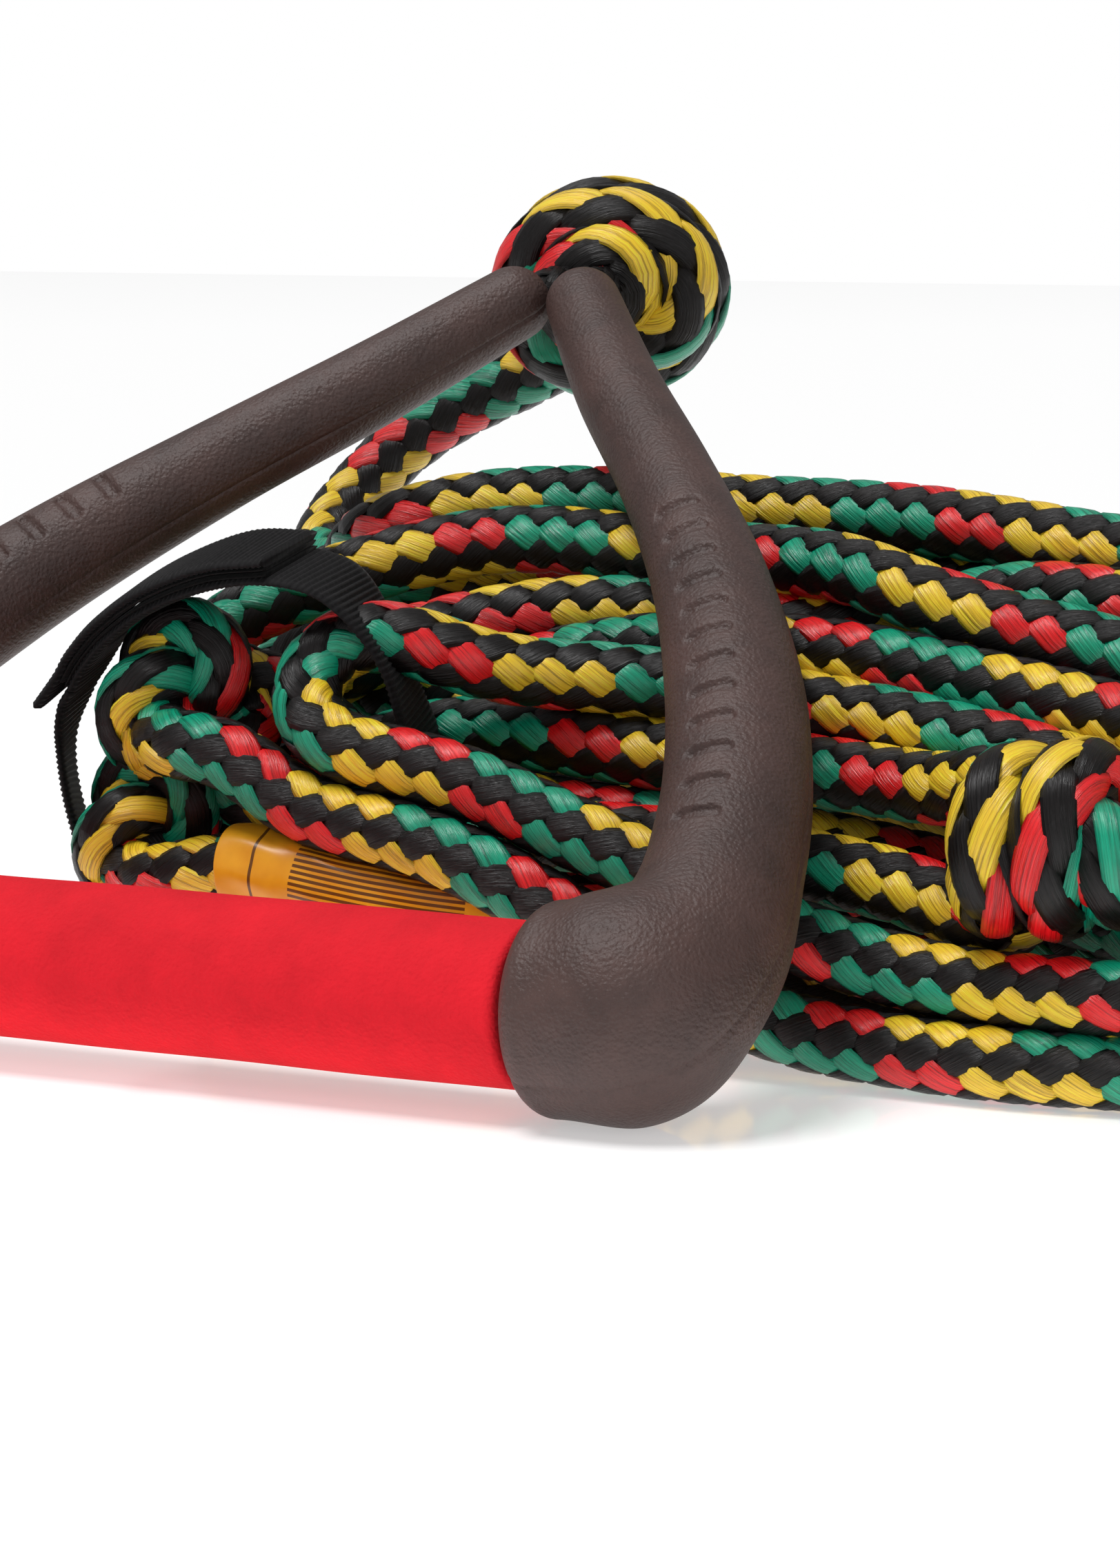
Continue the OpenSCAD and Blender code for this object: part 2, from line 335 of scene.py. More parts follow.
webbing = webbing_material("strap_webbing", (0.005, 0.0045, 0.005))
fuzz = webbing_material("strap_fuzz", (0.004, 0.004, 0.004))
alloy = Nodes("bar_alloy", (0.75, 0.76, 0.78), 0.35)
alloy.shader.inputs["Metallic"].default_value = 1.0
alloy.roughness(alloy.noise(alloy.stretched("Object", (8, 300, 300)), 4.0), 0.25, 0.45)
nylon = Nodes("cap_nylon", (0.82, 0.82, 0.78), 0.45)
nylon.bump(nylon.noise(nylon.stretched("Object", (1, 1, 1)), 900.0), 0.2, 0.0001)

# ---------------------------------------------------------------- braided rope

# Places in strand_materials of the eight coloured strands in turn, and of the black ones
COLOURED = [0, 0, 0, 2, 2, 1, 1, 1]
CORE_BLACK = 3
STRANDS = 8
FLOAT_SHARPNESS = 1.9
SECTION = [(-1, 0), (-0.68, 0.68), (0, 0.95), (0.68, 0.68), (1, 0), (0, -0.8)]
RING_STEP = 1.75
# Of a rope 15 mm across: how far out a strand's middle rides, and half its width and thickness
FULL_SIZE = 15.0
RIDE_HIGH, RIDE_LOW = 6.5, 4.7
STRAND_WIDE, STRAND_THICK = 2.85, 1.0


def braid(path, diameter, lead, roll=0.0):
    """Strands of a 16-strand two-over-two braid along path: (verts, uv, colour) for each.

    Eight coloured strands turn one way and eight black ones the other. The coloured ones lie
    high in four zones round the rope, and the black ones lie high in the zones between."""
    scale = diameter / FULL_SIZE
    high, low = RIDE_HIGH * scale, RIDE_LOW * scale
    middle, swing = (high + low) / 2, (high - low) / 2
    half_wide, half_thick = STRAND_WIDE * scale, STRAND_THICK * scale
    _, n, b = frames(path)
    s = lengths(path)
    made = []
    for way in (1, -1):
        for i in range(STRANDS):
            turn = way * 2 * math.pi * s / lead + i * math.pi / 4
            if way < 0:
                turn = turn + math.pi / 8
            wave = np.tanh(FLOAT_SHARPNESS * np.cos(4 * turn)) / math.tanh(FLOAT_SHARPNESS)
            radius = middle + way * swing * wave
            angle = turn + roll
            out = np.cos(angle)[:, None] * n + np.sin(angle)[:, None] * b
            centre = path + radius[:, None] * out
            out = unit(out)
            run = tangents(centre)
            side = unit(np.cross(out, run))
            up = np.cross(run, side)
            uneven = 0.05 * np.sin(s / 11.0 + 2.3 * i)
            wide = (half_wide * (1 + 0.12 * way * wave + uneven))[:, None]
            rings = [centre + wide * x * side + half_thick * y * up for x, y in SECTION]
            verts = np.stack(rings, axis=1).reshape(-1, 3)
            around = np.tile(np.arange(len(SECTION)) / len(SECTION), len(path))
            uv = np.stack([around, np.repeat(s * MM, len(SECTION))], axis=1)
            made.append((verts, uv, COLOURED[i] if way > 0 else CORE_BLACK))
    return made


def strand_piece(name, strands):
    """One object from several strands, with a material slot for each colour in it."""
    used = sorted({colour for _, _, colour in strands})
    verts, uvs, faces, indices = [], [], [], []
    base = 0
    for points, uv, colour in strands:
        rings = len(points) // len(SECTION)
        mine = [[base + k for k in face] for face in capped_faces(rings, len(SECTION))]
        faces += mine
        indices += [used.index(colour)] * len(mine)
        verts.append(points)
        uvs.append(uv)
        base += len(points)
    return piece(name, np.vstack(verts), faces, [strand_materials[c] for c in used], indices,
                 np.vstack(uvs))


# At each end of a coil: the turns over which it tucks in, and how much of its radius and
# of its distance from the middle it gives up
TUCK_TURNS = 0.28
TUCK_IN = 0.7
TUCK_BACK = 0.45


def coil_path(centre, axis, radius, turns, pitch, start, taper):
    """A rope wound about an axis, as in the wraps of a knot, with its ends tucked inwards."""
    axis = unit(np.asarray(axis, float))
    side = unit(np.cross(axis, Z_AXIS))
    up = np.cross(side, axis)
    steps = int(turns * 60)
    a = np.linspace(0, 2 * math.pi * turns, steps) + math.radians(start)
    w = np.linspace(-0.5, 0.5, steps)
    tuck = np.clip((np.abs(w) - (0.5 - TUCK_TURNS / turns)) / (TUCK_TURNS / turns), 0, 1)
    r = radius * (1 - taper * (2 * w) ** 2) * (1 - TUCK_IN * tuck ** 2)
    out = np.cos(a)[:, None] * side + np.sin(a)[:, None] * up
    along = w * (1 - TUCK_BACK * tuck ** 2) * turns * pitch
    return np.asarray(centre, float) + r[:, None] * out + along[:, None] * axis


def knot_piece(name, paths, diameter, lead, node):
    """A knot of one or more lengths of braid, in place of a CAD node."""
    strands = []
    for k, path in enumerate(paths):
        strands += braid(spaced(path, RING_STEP), diameter, lead, roll=0.9 * k)
    made = strand_piece(name, strands)
    return ride(made, "line", [node])


# ---------------------------------------------------------------- the line's route

LINE_D = 15.0
LINE_LEAD = 72.0
LINE_ROLL = 0.4
STEP = 7.5
FOLD_RADIUS = 21.0
KNOT_TURN = 10.0
APEX = (-3, 208.5, 151)
LINE_ROUTE = [(-20, 214, 134), (-33, 215, 128), (-48, 211, 121), (-60, 205, 112), (-67, 196, 101),
              (-68, 184, 92), (-60, 170, 86), (-44, 158, 86)]
TOW_LEAD = [(196, 178, 12), (206, 200, 9), (200, 216, 8), (184, 221, 8), (164, 220, 10)]
RIGHT_KNOT = (170, 66, 50)
LEFT_END, RIGHT_END = -38, 208

# The runs of the hank in order, going right and left in turn, with how firmly each holds its place
RUNS = [
    (0.20, [(-26, 142, 98), (-9, 152, 103), (25, 155, 104), (61, 152, 103), (96, 152, 103),
            (138, 143, 100), (175, 138, 97), (206, 136, 92)]),
    (0.20, [(200, 108, 70), (170, 112, 77), (137, 119, 84), (110, 124, 89), (80, 130, 94),
            (47, 132, 96), (10, 137, 98), (-15, 128, 92), (-36, 116, 84)]),
    (0.16, [(-34, 96, 62), (4, 107, 72), (15, 114, 79), (40, 121, 84), (80, 124, 82), (121, 128, 90),
            (157, 128, 90), (204, 128, 84)]),
    (0.16, [(202, 96, 62), (167, 105, 70), (130, 111, 76), (92, 113, 78), (58, 115, 80),
            (35, 112, 76), (10, 108, 68), (-36, 104, 66)]),
    (0.05, [(LEFT_END, 142, 70), (80, 148, 69), (RIGHT_END, 146, 68)]),
    (0.05, [(RIGHT_END, 112, 48), (80, 126, 60), (LEFT_END, 112, 52)]),
    (0.16, [(-30, 86, 46), (10, 92, 56), (50, 97, 61), (105, 95, 59), (128, 91, 57), (150, 78, 53),
            (168, 66, 57)]),
    (0.16, [(168, 68, 43), (148, 72, 38), (130, 75, 38), (114, 77, 40), (80, 80, 42), (46, 80, 42),
            (10, 78, 40), (-20, 74, 42), (-40, 72, 45)]),
    (0.25, [(-40, 66, 32), (-28, 60, 34), (-18, 58, 34), (13, 58, 34), (44, 58, 34), (74, 70, 24),
            (105, 76, 14), (140, 78, 9), (180, 80, 9), (206, 82, 10)]),
    (0.25, [(216, 64, 22), (189, 58, 16), (168, 59, 18), (150, 61, 21), (132, 62, 24), (116, 63, 28),
            (98, 62, 35), (82, 61, 41), (64, 60, 47), (46, 60, 53), (27, 60, 58), (10, 61, 63)]),
    (0.25, [(10, 66, 80), (26, 76, 76), (44, 90, 73), (70, 100, 70), (99, 103, 68), (135, 100, 65),
            (170, 94, 60), (206, 90, 52)]),
    (0.10, [(204, 92, 26), (150, 98, 34), (100, 98, 42), (40, 92, 44), (0, 86, 54), (-16, 80, 64),
            (-30, 76, 72)]),
    (0.25, [(-30, 66, 60), (-12, 57, 61), (4, 56, 51), (18, 56, 45), (45, 57, 38), (70, 58, 28),
            (95, 60, 16), (116, 59, 10), (131, 57, 8), (143, 58, 9), (165, 56, 8), (178, 57, 9),
            (204, 62, 9)]),
    (0.05, [(RIGHT_END, 108, 9), (80, 110, 9), (LEFT_END, 104, 9)]),
    (0.05, [(LEFT_END, 148, 9), (80, 149, 9), (RIGHT_END, 149, 9)]),
    (0.05, [(RIGHT_END, 108, 28), (80, 110, 25), (LEFT_END, 108, 26)]),
    (0.05, [(LEFT_END, 150, 26), (80, 149, 26), (RIGHT_END, 150, 26)]),
    (0.05, [(RIGHT_END, 170, 56), (80, 168, 54), (LEFT_END, 166, 56)]),
    (0.05, [(LEFT_END, 132, 44), (80, 130, 42), (RIGHT_END, 130, 44)]),
    (0.05, [(RIGHT_END, 166, 86), (80, 162, 86), (LEFT_END, 160, 84)]),
    (0.05, [(LEFT_END, 152, 44), (80, 149, 43), (RIGHT_END, 150, 44)]),
    (0.16, [(RIGHT_END, 150, 84), (140, 152, 90), (80, 156, 91), (20, 158, 92), (-20, 156, 90),
            (LEFT_END, 150, 86)]),
    (0.05, [(LEFT_END, 130, 27), (80, 130, 27), (RIGHT_END, 130, 27)]),
    (0.05, [(RIGHT_END, 168, 72), (80, 166, 70), (LEFT_END, 166, 70)]),
    (0.05, [(LEFT_END, 168, 25), (80, 168, 25), (RIGHT_END, 168, 25)]),
    (0.05, [(RIGHT_END, 130, 9), (80, 130, 9), (LEFT_END, 128, 9)]),
    (0.05, [(LEFT_END, 168, 9), (80, 168, 9), (170, 168, 9)]),
]


def fold(start, end, side, rng):
    """Points of the loop that joins one run to the next, bulging out past the hank's end."""
    start, end = np.asarray(start, float), np.asarray(end, float)
    middle, half = (start + end) / 2, (start - end) / 2
    size = np.linalg.norm(half)
    reach = (KNOT_TURN if size < KNOT_TURN else max(FOLD_RADIUS, size)) * rng.uniform(0.85, 1.05)
    turns = np.radians([30, 60, 90, 120, 150])
    return [middle + half * math.cos(a) + X_AXIS * side * reach * math.sin(a) for a in turns]


# How firmly points are held: a run held less than LOOSE also gets small random shifts
LOOSE = 0.1
FOLD_HOLD = 0.02
RUN_SHIFTS = (6, 2.0, 1.0)
PER_SPAN = 8


def planned_route():
    """The line from the apex knot to the tow knot before it settles, and how firmly it is held."""
    rng = np.random.default_rng(7)
    points, held = [APEX], [1.0]
    points += LINE_ROUTE
    held += [1.0] * len(LINE_ROUTE)
    for k, (hold, run) in enumerate(RUNS):
        run = [np.asarray(p, float) for p in run]
        if hold < LOOSE:
            run = [p + rng.normal(0, 1, 3) * RUN_SHIFTS for p in run]
        points += run
        held += [hold] * len(run)
        if k + 1 < len(RUNS):
            side = 1 if k % 2 == 0 else -1
            loop = fold(run[-1], RUNS[k + 1][1][0], side, rng)
            points += loop
            held += [FOLD_HOLD] * len(loop)
    points += TOW_LEAD
    held += [1.0] * len(TOW_LEAD)
    line = smooth(points, PER_SPAN)
    weights = np.interp(np.arange(len(line)) / PER_SPAN, np.arange(len(held)), held)
    along = lengths(line)
    at = np.linspace(0, along[-1], int(round(along[-1] / STEP)) + 1)
    line = np.stack([np.interp(at, along, line[:, k]) for k in range(3)], axis=1)
    return line, np.interp(at, along, weights)


# Places down the right arm in the handle's plane: u and v of its inner edge, then of its outer
ARM_EDGES = np.array([
    [2.3, 206, 15.7, 216], [23.2, 176.5, 37.8, 188.5], [47.5, 146.6, 63.5, 159.4],
    [69.6, 115, 89.6, 128], [86.6, 83.6, 111.5, 95.4], [97.6, 58, 125.4, 67],
    [103.5, 37.5, 133.4, 43.5], [105.5, 25, 139.5, 18], [104.5, 22, 136, -6],
    [102.5, 20.8, 123, -19], [101, 20.3, 103, -20.7]])
LEAN = math.radians(53.6)


def lifted(u, v, w):
    """Points of the handle's plane, from the floor under the bar: along it, up it, to its front."""
    y = v * math.sin(LEAN) - w * math.cos(LEAN)
    z = v * math.cos(LEAN) + w * math.sin(LEAN) + BAR_Z
    return np.stack(np.broadcast_arrays(u, y, z), axis=-1)


def arm_obstacles():
    """Middles and radii of round sections down both arms."""
    edges = smooth(ARM_EDGES, 4)
    u, v = (edges[:, 0] + edges[:, 2]) / 2, (edges[:, 1] + edges[:, 3]) / 2
    r = np.hypot(edges[:, 2] - edges[:, 0], edges[:, 3] - edges[:, 1]) / 2
    middles = np.vstack([lifted(u, v, 0), lifted(-u, v, 0)])
    return middles, np.concatenate([r, r])


OPEN_SHARE = 0.25
NEIGHBOURS = 4
PART_SHARE = 0.4
PART_EXTRA = 1.6


def push_out(p, centres, radii, gap):
    """Moves points that lie inside round obstacles to their surface."""
    away = p[:, None] - centres[None]
    far = np.linalg.norm(away, axis=2)
    depth = radii + gap - far
    k = depth.argmax(axis=1)
    i = np.arange(len(p))
    push = np.maximum(depth[i, k], 0)
    return p + (away[i, k] / np.maximum(far[i, k], 1e-6)[:, None]) * push[:, None]


def stretch(p, rest):
    """Brings each step of the line back to its rest length."""
    for first in (0, 1):
        a, b = p[first:-1:2], p[first + 1::2]
        n = min(len(a), len(b))
        d = b[:n] - a[:n]
        size = np.linalg.norm(d, axis=1, keepdims=True)
        shift = d * (0.5 * (size - rest) / np.maximum(size, 1e-6))
        a[:n] += shift
        b[:n] -= shift


def open_bends(p, reach, least):
    """Pushes points reach steps apart away from each other where the line bends too tightly."""
    d = p[reach:] - p[:-reach]
    size = np.linalg.norm(d, axis=1, keepdims=True)
    shift = d / np.maximum(size, 1e-6) * np.maximum(least - size, 0) * OPEN_SHARE
    move = np.zeros_like(p)
    move[reach:] += shift
    move[:-reach] -= shift
    p += move


def part_turns(p, gap):
    """Pushes apart points of different turns that are nearer than gap."""
    square = (p ** 2).sum(1)
    near = square[:, None] + square[None] - 2 * p @ p.T
    i, j = np.nonzero(near < gap * gap)
    keep = j - i > NEIGHBOURS
    i, j = i[keep], j[keep]
    d = p[j] - p[i]
    size = np.linalg.norm(d, axis=1, keepdims=True)
    shift = d / np.maximum(size, 1e-6) * (gap - size) * PART_SHARE
    move = np.zeros_like(p)
    hits = np.zeros(len(p))
    np.add.at(move, j, shift)
    np.add.at(move, i, -shift)
    np.add.at(hits, i, 1)
    np.add.at(hits, j, 1)
    p += move / np.maximum(hits, 1)[:, None] * PART_EXTRA


ROUNDS = 220
SINK = 0.12
STIFFNESS = 0.18
BEND_REACH = 4
TURN_GAP = LINE_D - 0.3
ARM_GAP = LINE_D / 2 + 1.2
FLOOR_GAP = LINE_D / 2 + 0.3


def settled_route():
    """The line's centreline after its turns have settled beside and on each other."""
    start, held = planned_route()
    p = start.copy()
    centres, radii = arm_obstacles()
    fixed = held > 0.9
    chord = 2 * FOLD_RADIUS * math.sin(2 * STEP / FOLD_RADIUS)
    for k in range(ROUNDS):
        slack = 1.0 if k < ROUNDS * 0.5 else 0.45
        p += (start - p) * (held * slack * 0.5)[:, None]
        p[:, 2] -= SINK * (held < LOOSE)
        inner = (p[:-2] + p[2:]) / 2 - p[1:-1]
        p[1:-1] += STIFFNESS * inner
        open_bends(p, BEND_REACH, chord)
        part_turns(p, TURN_GAP)
        p[:] = push_out(p, centres, radii, ARM_GAP)
        stretch(p, STEP)
        p[:, 2] = np.maximum(p[:, 2], FLOOR_GAP)
        p[fixed] = start[fixed]
    return p


def line_path():
    """The settled centreline, eased and with its points a ring's step apart."""
    rough = settled_route()
    eased = rough.copy()
    for _ in range(2):
        eased[1:-1] = 0.5 * eased[1:-1] + 0.25 * (eased[:-2] + eased[2:])
    fine = smooth(eased, 6)
    fine[:, 2] = np.maximum(fine[:, 2], LINE_D / 2)
    return spaced(fine, RING_STEP)


STRAND_GROUPS = {"yellow": [0, 1, 2], "green": [5, 6, 7], "red": [3, 4],
                 "black_a": [8, 9, 10], "black_b": [11, 12, 13], "black_c": [14, 15]}


def make_line():
    """The whole line from the apex knot to the tow knot, as one piece for each group of strands."""
    path = line_path()
    strands = braid(path, LINE_D, LINE_LEAD, roll=LINE_ROLL)
    made = {}
    for name, members in STRAND_GROUPS.items():
        made[name] = strand_piece("line_" + name, [strands[i] for i in members])
        ride(made[name], "line")
    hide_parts("main_line", "hank", "tow_lead", "sleeve_core")
    return path, made


line_centre, line_pieces = make_line()

# ---------------------------------------------------------------- knots and the tow loop

# Each knot's middle, and the direction from which its wraps or its overhand are seen
APEX_MIDDLE = (-6, 208.5, 149)
APEX_INNER = (-3, 202.5, 149)
APEX_AXIS = (0.42, -0.90, -0.12)
UPPER_MIDDLE, UPPER_AXIS = (-30, 72, 66), (0.42, -0.90, 0.1)
LOWER_MIDDLE, LOWER_AXIS = (-36, 70, 38), (0.50, -0.86, 0.0)
RIGHT_AXIS = (1, 0.05, 0.12)
TOW_KNOT = (158, 219, 17)

TOW_Y = 219
NECK_X = 143
TOW_LOOP_AT = (76, TOW_Y, LINE_D / 2)
TOW_LOOP_HALF = 32
TOW_LOOP_R = 18


def wrap_path(centre, axis, radius, turns, pitch, start, wide):
    """Wraps of a knot seen end on, drawn out sideways by a factor."""
    path = coil_path(centre, axis, radius, turns, pitch, start, taper=0.12)
    side = unit(np.cross(np.asarray(axis, float), Z_AXIS))
    off = (path - np.asarray(centre, float)) @ side
    return path + (wide - 1) * off[:, None] * side


TREFOIL_MIDDLE, TREFOIL_SWING = 0.86, 0.46


def trefoil_path(centre, axis, size, start):
    """A rope tied in an overhand knot and pulled tight, seen along an axis."""
    axis = unit(np.asarray(axis, float))
    side = unit(np.cross(axis, Z_AXIS))
    up = np.cross(side, axis)
    a = np.linspace(0, 2 * math.pi, 200)
    out = size * (TREFOIL_MIDDLE + TREFOIL_SWING * np.cos(3 * a))
    rise = size * TREFOIL_SWING * np.sin(3 * a)
    turn = 2 * a + math.radians(start)
    return (np.asarray(centre, float) + (out * np.cos(turn))[:, None] * side
            + (out * np.sin(turn))[:, None] * up + rise[:, None] * axis)


def make_knots():
    """The five knots, each set over the place where the line turns or ends."""
    apex = knot_piece("knot_apex", [
        wrap_path(APEX_MIDDLE, APEX_AXIS, radius=17.0, turns=2.2, pitch=13.0, start=200, wide=1.12),
        wrap_path(APEX_INNER, APEX_AXIS, radius=8.5, turns=2.4, pitch=10.0, start=60, wide=1.12),
    ], diameter=17.0, lead=118.0, node="apex_knot")
    upper = knot_piece("knot_upper", [
        trefoil_path(UPPER_MIDDLE, UPPER_AXIS, size=11.5, start=200),
    ], diameter=13.0, lead=96.0, node="line_knot_upper")
    lower = knot_piece("knot_lower", [
        trefoil_path(LOWER_MIDDLE, LOWER_AXIS, size=11.0, start=80),
    ], diameter=12.5, lead=96.0, node="line_knot_lower")
    right = knot_piece("knot_right", [
        coil_path(RIGHT_KNOT, RIGHT_AXIS, radius=12.0, turns=2.8, pitch=12.5, start=90, taper=0.2),
    ], diameter=16.0, lead=110.0, node="line_knot_right")
    tow = knot_piece("knot_tow", [
        coil_path(TOW_KNOT, (1, 0, 0), radius=9.6, turns=2.2, pitch=12.5, start=0, taper=0.1),
    ], diameter=14.0, lead=90.0, node="tow_knot")
    return [apex, upper, lower, right, tow]


def loop_path():
    """The spliced loop at the tow end: out of the whipping, round, and back into it."""
    x, y, z = TOW_LOOP_AT
    neck = [(NECK_X, y + 1.2, z + 0.5), (NECK_X - 9, y + 1.8, z)]
    out = [(x + TOW_LOOP_HALF + TOW_LOOP_R * math.cos(a), y + TOW_LOOP_R * math.sin(a), z)
           for a in np.radians([42, 66, 90])]
    left = [(x - TOW_LOOP_HALF - TOW_LOOP_R * math.cos(a), y - TOW_LOOP_R * math.sin(a), z)
            for a in np.radians(np.arange(-90, 91, 15))]
    there = [(x + dx, y + TOW_LOOP_R, z) for dx in (16, 0, -16)]
    back = [(x + dx, y - TOW_LOOP_R, z) for dx in (-16, 0, 16)]
    home = [(px, 2 * y - py, pz) for px, py, pz in reversed(neck + out)]
    return smooth(neck + out + there + left + back + home, 8)


knot_pieces = make_knots()
tow_loop = strand_piece("loop_tow", braid(spaced(loop_path(), RING_STEP), LINE_D - 1, LINE_LEAD))
ride(tow_loop, "line", ["tow_loop"])

# ---------------------------------------------------------------- arms, grip and small parts

ARM_SIDES = 90
SEAM_DEPTH = 0.35
SEAM_SPREAD = math.radians(2.5)
# The row of plain moulded bars on an arm's front: their size, and where they start and end
MARK_DEPTH = 1.2
MARK_PITCH = 9.5
MARK_STROKE = 2.0
MARK_WALL = 1.0
MARK_REACH = 3.6
MARK_ANGLE = 96
MARKS_FROM, MARKS_TO = 104, 218
END_ROUND = 5.0


def arm_stations():
    """Round sections down a right arm: middle, unit from inner to outer edge, radius."""
    edges = smooth(ARM_EDGES, 60)
    inner, outer = edges[:, :2], edges[:, 2:]
    middle = (inner + outer) / 2
    across = unit(outer - inner)
    radius = np.linalg.norm(outer - inner, axis=1) / 2
    up = np.array([-across[0][1], across[0][0]])
    dome = np.radians(np.linspace(80, 8, 10))[:, None]
    tip = middle[0] + up * radius[0] * np.sin(dome)
    tip_radius = radius[0] * np.cos(dome[:, 0])
    rim = np.radians(np.linspace(9, 88, 9))[:, None]
    foot = middle[-1] - np.array([END_ROUND, 0]) * np.sin(rim)
    foot_radius = radius[-1] - END_ROUND * (1 - np.cos(rim[:, 0]))
    tip_across = np.repeat(across[:1], len(tip), 0)
    foot_across = np.repeat(across[-1:], len(foot), 0)
    return (np.vstack([tip, middle, foot]), np.vstack([tip_across, across, foot_across]),
            np.concatenate([tip_radius, radius, foot_radius]))


def mark_depth(along, aside):
    """Depth of the row of plain moulded bars at places along and across an arm's front."""
    cell = np.abs(np.mod(along - MARKS_FROM, MARK_PITCH) - MARK_PITCH / 2)
    over = np.maximum(np.abs(aside) - MARK_REACH, 0)
    stroke = np.clip((MARK_STROKE - np.hypot(cell, over)) / MARK_WALL, 0, 1)
    marked = (along > MARKS_FROM) & (along < MARKS_TO)
    return MARK_DEPTH * stroke * stroke * (3 - 2 * stroke) * marked


def make_arm_half(name, node, mirrored, front):
    """One moulded half of an arm, with a shallow seam groove along the plane of the handle."""
    middle, across, radius = arm_stations()
    angles = np.radians(np.linspace(0, 180, ARM_SIDES + 1))
    flat = np.linspace(-0.8, 0.8, 5)
    along = lengths(middle)
    cos, sin = np.cos(angles)[None], np.sin(angles)[None]
    seam = np.exp(-(np.minimum(angles, math.pi - angles) / SEAM_SPREAD) ** 2)[None]
    depth = SEAM_DEPTH * seam * np.minimum(1, radius / 6)[:, None]
    if front:
        aside = radius[:, None] * (angles[None] - math.radians(MARK_ANGLE))
        depth = depth + mark_depth(along[:, None], aside)
    q = radius[:, None] - depth
    arc = np.stack([q * cos, q * sin], axis=-1)
    chord = np.stack(np.broadcast_arrays(q[:, :1] * flat[None], 0), axis=-1)
    outline = np.concatenate([arc, chord], axis=1)
    u = middle[:, None, 0] + across[:, None, 0] * outline[..., 0]
    v = middle[:, None, 1] + across[:, None, 1] * outline[..., 0]
    w = outline[..., 1] * (1 if front else -1)
    sides = outline.shape[1]
    verts = lifted(-u if mirrored else u, v, w).reshape(-1, 3)
    faces = capped_faces(len(middle), sides)
    if mirrored == front:
        faces = [face[::-1] for face in faces]
    made = piece(name, verts, faces, [eva_material])
    mark_seam(made, sides, ARM_SIDES)
    return ride(made, "handle", [node])


def mark_seam(obj, sides, last):
    """Keeps the edge between an arm half's round face and its flat one sharp."""
    edges = np.zeros(len(obj.data.edges) * 2, np.int32)
    obj.data.edges.foreach_get("vertices", edges)
    place = edges.reshape(-1, 2) % sides
    sharp = (place[:, 0] == place[:, 1]) & ((place[:, 0] == 0) | (place[:, 0] == last))
    obj.data.edges.foreach_set("use_edge_sharp", sharp)


def lathe(name, profile, path, material, wobble=None, sides=96):
    """A ring-shaped piece along a path: profile is a closed outline of (distance along, radius)."""
    outline = np.asarray(profile, float)
    path = np.asarray(path, float)
    along = lengths(path)
    x = outline[:, 0:1]
    centre = np.stack([np.interp(x[:, 0], along, path[:, k]) for k in range(3)], axis=1)
    way = tangents(path) if len(path) > 2 else unit(path[1:] - path[:-1]).repeat(2, 0)
    t = unit(np.stack([np.interp(x[:, 0], along, way[:, k]) for k in range(3)], axis=1))
    front = unit(-Y_AXIS + t * t[:, 1:2])
    top = np.cross(front, t)
    a = math.pi + np.arange(sides) * 2 * math.pi / sides
    r = np.repeat(outline[:, 1:2], sides, axis=1)
    if wobble is not None:
        r = r + wobble(x, a[None], outline[:, 1:2])
    verts = (centre[:, None] + (r * np.cos(a))[..., None] * front[:, None]
             + (r * np.sin(a))[..., None] * top[:, None])
    rings = len(outline)
    ring = np.arange(rings)[:, None]
    k = np.arange(sides)[None]
    nxt, after = (k + 1) % sides, (ring + 1) % rings
    here, there = ring * sides, after * sides
    quads = np.stack([here + k, here + nxt, there + nxt, there + k], axis=-1)
    turn = a / (2 * math.pi) - 0.5
    uv = np.stack([np.tile(turn, rings), np.repeat(outline[:, 0] * MM, sides)], axis=1)
    faces = quads.reshape(-1, 4)[:, ::-1].tolist()
    return piece(name, verts.reshape(-1, 3), faces, [material], uv=uv)


def rounded_tube(length, outer, inner, edge, steps):
    """Closed outline of a tube's wall with rounded outer ends."""
    half = length / 2
    turn = np.radians(np.linspace(0, 90, 6))
    right = [(half - edge + edge * math.sin(a), outer - edge + edge * math.cos(a)) for a in turn]
    left = [(-x, r) for x, r in reversed(right)]
    top = [(x, outer) for x in np.linspace(-half + edge, half - edge, steps)[1:-1]]
    bottom = [(x, inner) for x in np.linspace(half, -half, 12)]
    return [(x + half, r) for x, r in left + top + right + bottom]


GRIP_R = 16.0
GRIP_BORE = 12.7
GRIP_EDGE = 1.6


def make_grip():
    """The foam grip, which is very slightly uneven outside."""
    def soft(x, a, r):
        slow = 0.10 * np.sin(x / 23.0 + 0.6) * np.sin(a + x / 60.0)
        quick = 0.07 * np.sin(x / 9.0) * np.cos(2 * a)
        return (slow + quick) * (r > GRIP_R - 2)
    half = float(grip_high[0] - grip_low[0]) / 2 / MM
    made = lathe("foam_grip", rounded_tube(2 * half, GRIP_R, GRIP_BORE, GRIP_EDGE, steps=90),
                 [(-half, 0, BAR_Z), (half, 0, BAR_Z)], grip_material, wobble=soft, sides=120)
    return ride(made, "bar", ["grip"])


SLEEVE_FROM = (-10, 58, 34)
SLEEVE_LEN = 62
SLEEVE_R = 9.2
SLEEVE_BORE = 7.6
SLEEVE_EDGE = 0.6
FILM = (0.90, 0.42, 0.015)
INK = (0.16, 0.06, 0.008)
RULES_ROUND = 46
# The printed panel and ring: from and to in metres along the sleeve, and in turns round it
PANEL_ALONG, PANEL_ROUND = (0.018, 0.055), (0.40, 0.76)
RING_ALONG = (0.0085, 0.0092)


